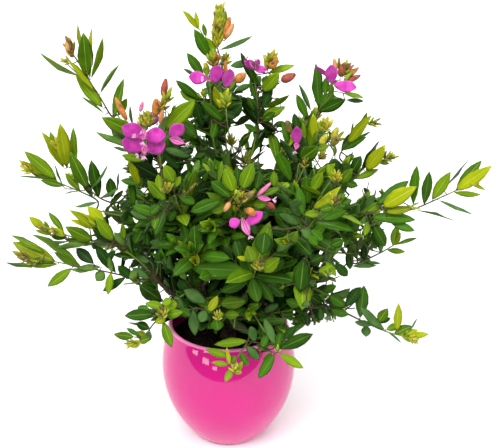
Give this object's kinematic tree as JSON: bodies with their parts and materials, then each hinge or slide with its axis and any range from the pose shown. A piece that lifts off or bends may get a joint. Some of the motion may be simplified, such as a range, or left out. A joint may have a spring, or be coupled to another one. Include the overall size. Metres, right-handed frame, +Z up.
{
  "type": "potted myrtle-leaf milkwort",
  "caption": "Flowering evergreen shrub with spiralled narrow leaves and magenta winged flowers, planted in a rounded, glossy pink ceramic pot.",
  "frame": {"origin": "centre of the pot's flat underside", "axes": "+Z up along the pot's axis, the shrub's near side at -Y"},
  "size_m": [0.444, 0.3314, 0.4248],
  "materials": {
    "pink_glaze": "smooth, glossy, even pink glaze",
    "potting_mix": "moist, dark, crumbly potting mix",
    "bark": "dull brown-grey bark with fine ridges",
    "foliage": "fresh green leaves, thin green-brown twigs and magenta blossom"
  },
  "bodies": {
    "root": {"pot": "pink_glaze", "soil": "potting_mix", "trunk": "bark", "bough_front": "bark", "bough_back": "bark", "bough_left_low": "bark", "bough_right": "bark", "bough_front_left": "bark", "bough_back_right": "bark", "bough_right_front": "bark", "bough_back_left": "bark", "bough_upper_left": "bark", "bough_right_high": "bark", "bough_crown": "bark", "top_spike": "foliage", "top_flower": "foliage", "upper_centre": "foliage", "upper_right_flower": "foliage", "rear_top": "foliage", "upper_left": "foliage", "left_flower": "foliage", "left_high": "foliage", "left_high_outer": "foliage", "left_middle": "foliage", "left_low": "foliage", "left_lower": "foliage", "left_centre": "foliage", "front_low_left": "foliage", "front_left": "foliage", "front_left_hanging": "foliage", "centre_flower": "foliage", "front_centre": "foliage", "rim_left": "foliage", "rim_hanging": "foliage", "front_right": "foliage", "right_centre": "foliage", "right_front": "foliage", "front_low_right": "foliage", "lower_right": "foliage", "right_lowest": "foliage", "right_middle": "foliage", "right_yellow": "foliage", "right_long": "foliage", "right_small": "foliage", "right_flower": "foliage", "right_bud": "foliage", "right_high": "foliage", "right_inner_flower": "foliage", "back_right_high": "foliage", "back_right_middle": "foliage", "back_right_low": "foliage", "back_high": "foliage", "back_middle": "foliage", "back_hanging_left": "foliage", "back_hanging_right": "foliage", "back_left_high": "foliage", "back_left_middle": "foliage", "back_left_low": "foliage"}
  },
  "joints": []
}
